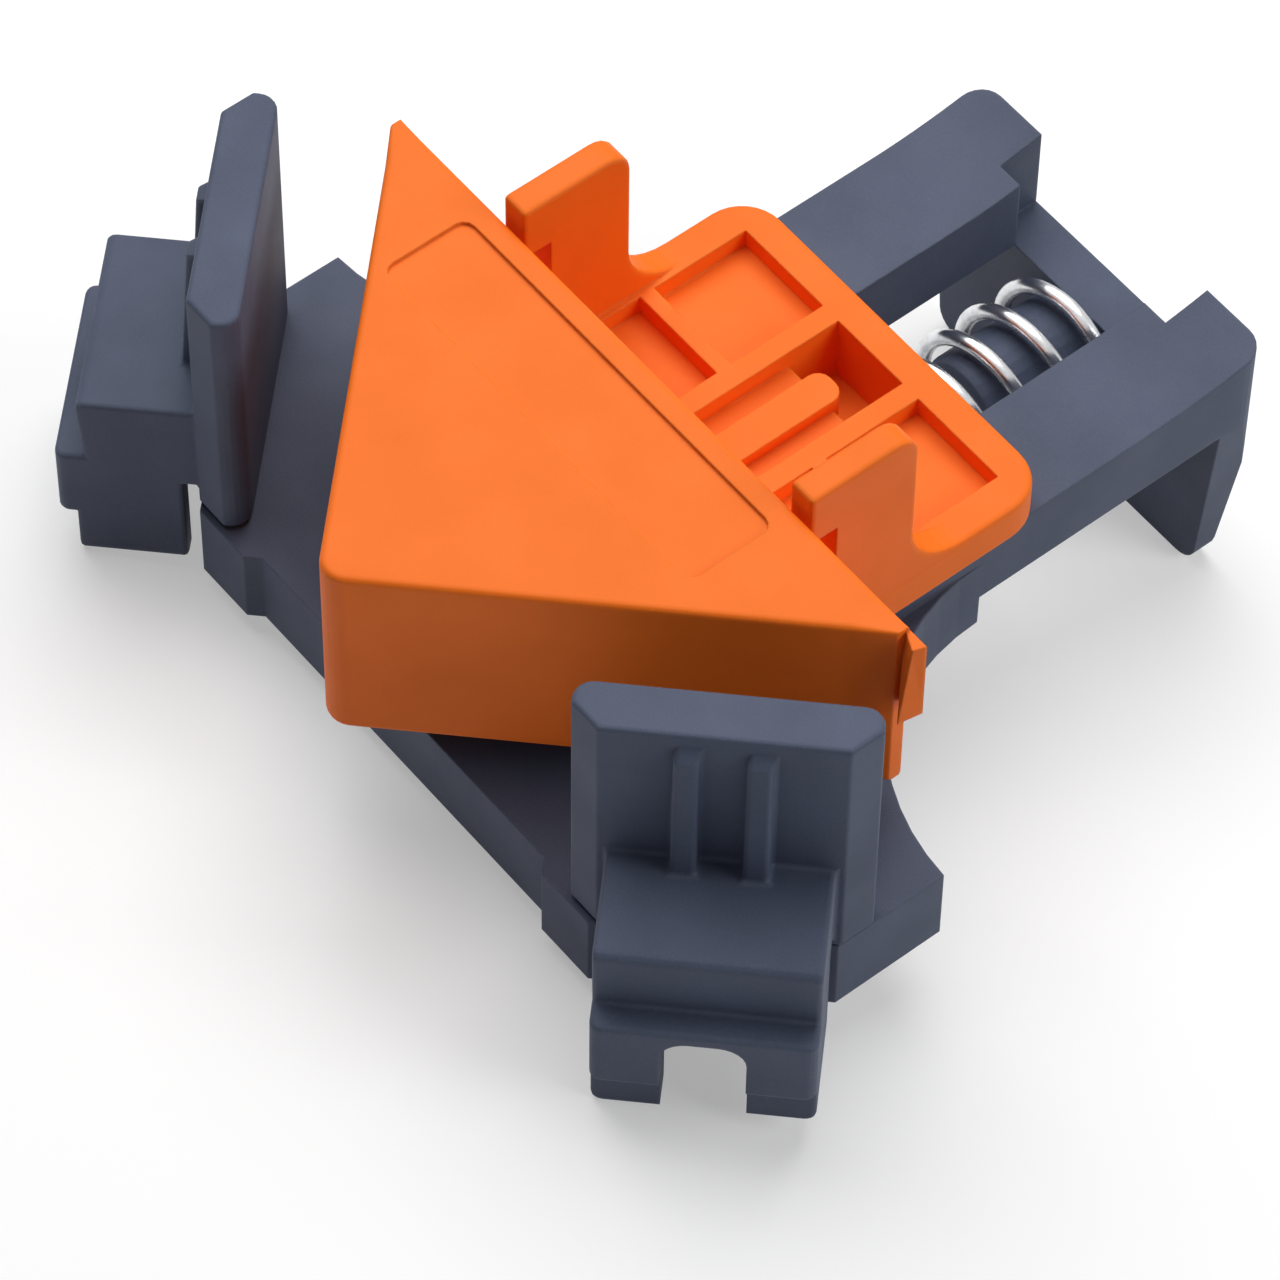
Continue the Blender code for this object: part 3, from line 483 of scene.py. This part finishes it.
# %% Add the lifting wedge
WEDGE_ROOT = Vector((35.0 * MM, back - 0.6 * MM, 0))
WEDGE_CORNER = Vector((36.9 * MM, back - 2.5 * MM, 0))
WEDGE_BACK = Vector((37.35 * MM, back, 0))
WEDGE_LEAN = 1.2 * MM
WEDGE_DOWN = 0.45 * MM
WEDGE_HEIGHT = 9.8 * MM
WEDGE_OVERLAP = 0.4 * MM
BACK_INSET = 0.02 * MM
NEAR = 0.1 * MM
DOWNWARDS = Vector((0, 0, -1))
wedge_top = block_high[2] - WEDGE_DOWN
wedge = box_piece(
    "lifting_wedge",
    low=(WEDGE_ROOT.x - WEDGE_OVERLAP, WEDGE_CORNER.y, wedge_top - WEDGE_HEIGHT),
    high=(WEDGE_BACK.x, back - BACK_INSET, wedge_top),
)
slice_off(wedge, WEDGE_ROOT, (WEDGE_ROOT - WEDGE_CORNER).cross(DOWNWARDS))
slice_off(wedge, WEDGE_BACK, (WEDGE_CORNER - WEDGE_BACK).cross(DOWNWARDS))
for vertex in wedge.data.vertices:
    if vertex.co.y < WEDGE_CORNER.y + WEDGE_LEAN and vertex.co.z > wedge_top - NEAR:
        vertex.co.y += WEDGE_LEAN
unite(block, wedge)
bpy.ops.object.shade_flat()
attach(block, "block")
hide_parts("angle_block")
print("block with wedge:", len(block.data.polygons), "faces")

# %% [markdown]
# The spring
#
# The real spring is drawn wire, so it is perfectly round and its highlights run unbroken along
# each turn. A curve with a round bevel gives that with few points. The ends close up for a part
# of a turn, as they do on the imported solid. When the slider is pushed back, the real coil
# shortens; this one is only hung on the base, and the script works out how short it would get.

# %% Measure the coil
WIRE = 1.6 * MM
COIL_RADIUS = 6.6 * MM
PITCH = 4.84 * MM
CLOSED_PITCH = 1.08 * WIRE
CLOSED_TURNS = 0.4
spring_low, spring_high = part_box("return_spring")
spring_length = spring_high[1] - spring_low[1]
open_turns = (spring_length - WIRE - 2 * CLOSED_TURNS * CLOSED_PITCH) / PITCH
turns = open_turns + 2 * CLOSED_TURNS
print("coil of", round(turns, 1), "turns")


def wound(turn):
    """How far along the axis the wire has come after some turns."""
    first = min(turn, CLOSED_TURNS)
    middle = min(max(turn - CLOSED_TURNS, 0), open_turns)
    last = max(turn - CLOSED_TURNS - open_turns, 0)
    return (first + last) * CLOSED_PITCH + middle * PITCH


# %% Wind the spring
FIRST_ANGLE = math.radians(-62)
STEPS_PER_TURN = 40
WIRE_ROUNDNESS = 5
path = bpy.data.curves.new("spring_path", "CURVE")
path.dimensions = "3D"
path.bevel_depth = WIRE / 2
path.bevel_resolution = WIRE_ROUNDNESS
path.use_fill_caps = True
steps = round(turns * STEPS_PER_TURN)
line = path.splines.new("POLY")
line.points.add(steps)
axis_height = (spring_low[2] + spring_high[2]) / 2
for i, point in enumerate(line.points):
    turn = turns * i / steps
    angle = FIRST_ANGLE + 2 * math.pi * turn
    x = COIL_RADIUS * math.cos(angle)
    y = spring_high[1] - WIRE / 2 - wound(turn)
    z = axis_height + COIL_RADIUS * math.sin(angle)
    point.co = (x, y, z, 1)
coil = bpy.data.objects.new("spring_coil", path)
bpy.context.scene.collection.objects.link(coil)
only(coil)
bpy.ops.object.convert(target="MESH")
bpy.ops.object.shade_smooth()
print("spring of", len(coil.data.vertices), "points")

# %% Hang the spring on the base
slide = next(joint for joint in frame["joints"] if joint["name"] == "slider_slide")
left_over = 1 - slide["range_m"][1] / spring_length
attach(coil, "base")
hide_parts("return_spring")
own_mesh(coil)
print("pushed to", round(100 * left_over), "% of its length")

# %% [markdown]
# Finishes on the new pieces
#
# The block is a copy and keeps the slots of the solid, and the wedge brought faces without any
# finish. So each new piece is given one finish all over, as a moulding or a wire has.

# %% Finish the new pieces
for piece, finish in ((block, orange_plastic), (coil, zinc_steel)):
    piece.data.materials.clear()
    piece.data.materials.append(finish)
    piece.data.polygons.foreach_set("material_index", [0] * len(piece.data.polygons))
    print(piece.name, "has", finish.name)

# %% [markdown]
# Light
#
# The photograph was lit by wide soft light from behind and above the clamp: tops are bright,
# faces towards the camera are several times darker, and the shadow falls towards us. A big disk
# of light behind the clamp makes that, and a weaker, lower one lights it from the right.

# %% Light the scene
LIGHT_DISTANCE = 0.8


def soft_light(name, azimuth, elevation, size, power):
    """A disk of light that looks at the clamp. Azimuth 0 is in front, over -Y."""
    a = math.radians(azimuth)
    e = math.radians(elevation)
    away = Vector((math.sin(a) * math.cos(e), -math.cos(a) * math.cos(e), math.sin(e)))
    bpy.ops.object.light_add(type="AREA", location=away * LIGHT_DISTANCE)
    lamp = bpy.context.object
    lamp.name = name
    lamp.data.shape = "DISK"
    lamp.data.size = size
    lamp.data.energy = power
    lamp.rotation_euler = away.to_track_quat("Z", "Y").to_euler()
    print(name, "gives", power, "W")


soft_light("window_light", azimuth=240, elevation=64, size=0.9, power=7.0)
soft_light("side_light", azimuth=122, elevation=30, size=0.5, power=2.4)

# %% [markdown]
# The room
#
# A pale world fills the shadows a little. If it were bright enough to be a pale background, it
# would wash the clamp out. So the world is dim for the soft light that falls on the clamp, and
# bright for the camera, for reflections and for what is seen through something clear.

# %% Paint the room
ROOM_COLOUR = (1.0, 1.0, 1.0, 1.0)
ROOM_STRENGTH = 0.08
BACKDROP_COLOUR = (0.8, 0.8, 0.8, 1.0)
world = bpy.data.worlds.new("pale_room")
bpy.context.scene.world = world
room = Finish(world, "Background")
room.set(Color=ROOM_COLOUR, Strength=ROOM_STRENGTH)
backdrop = room.node("ShaderNodeBackground", {}, BACKDROP_COLOUR, 1.0)
seen = room.ray("Is Camera Ray") + room.ray("Is Transmission Ray") + room.ray("Is Glossy Ray")
dim = Value(room, room.shader.outputs[0])
room.fill(room.tree.nodes["World Output"].inputs[0], room.either(seen.clamped(), dim, backdrop))
print("room strength:", ROOM_STRENGTH)

# %% [markdown]
# The paper
#
# The floor is matt white paper. Lamps that are strong enough to make it white would be too
# strong for the clamp, so the paper glows a little, and more behind the clamp than in front of
# it, as in the photograph. The weaker glow in front is painted shade on the paper. It still
# takes the clamp's shadow. The light that it throws back on the clamp comes from a plain matt
# surface that doesn't glow. Seen from below, the paper is clear, so that a low view still
# shows the clamp.

# %% Lay the paper on the floor
# The near glow is dimmer than the far one: painted shade on the paper in front of the clamp.
NEAR_GLOW = (0.36, 0.36, 0.36, 1.0)
FAR_GLOW = (0.46, 0.46, 0.46, 1.0)
NEAR_EDGE = -90 * MM
FAR_EDGE = 90 * MM
PAPER_COLOUR = (0.6, 0.6, 0.6, 1.0)
BOUNCE_COLOUR = (0.58, 0.58, 0.58, 1.0)
level_forward = Vector((forward.x, forward.y, 0)).normalized()
paper = new_finish("pale_paper")
away = paper.dot(paper.place(), level_forward)
glow = paper.mix(paper.contrast(away, NEAR_EDGE, FAR_EDGE), NEAR_GLOW, FAR_GLOW)
paper.set(Base_Color=PAPER_COLOUR, Roughness=0.9, Emission_Color=glow, Emission_Strength=1.0)
white = Value(paper, paper.shader.outputs[0])
bounce = paper.node("ShaderNodeBsdfDiffuse", {}, BOUNCE_COLOUR)
clear = paper.node("ShaderNodeBsdfTransparent", {})
top_side = paper.either(paper.ray("Is Diffuse Ray"), white, bounce)
from_below = paper.node("ShaderNodeNewGeometry", {}, output="Backfacing")
sheet = paper.either(from_below, top_side, clear)
paper.fill(paper.tree.nodes["Material Output"].inputs[0], sheet)
floor.data.materials.append(paper.owner)
bpy.context.scene.view_settings.view_transform = "Standard"
print("paper glows from", NEAR_GLOW[0], "to", FAR_GLOW[0])
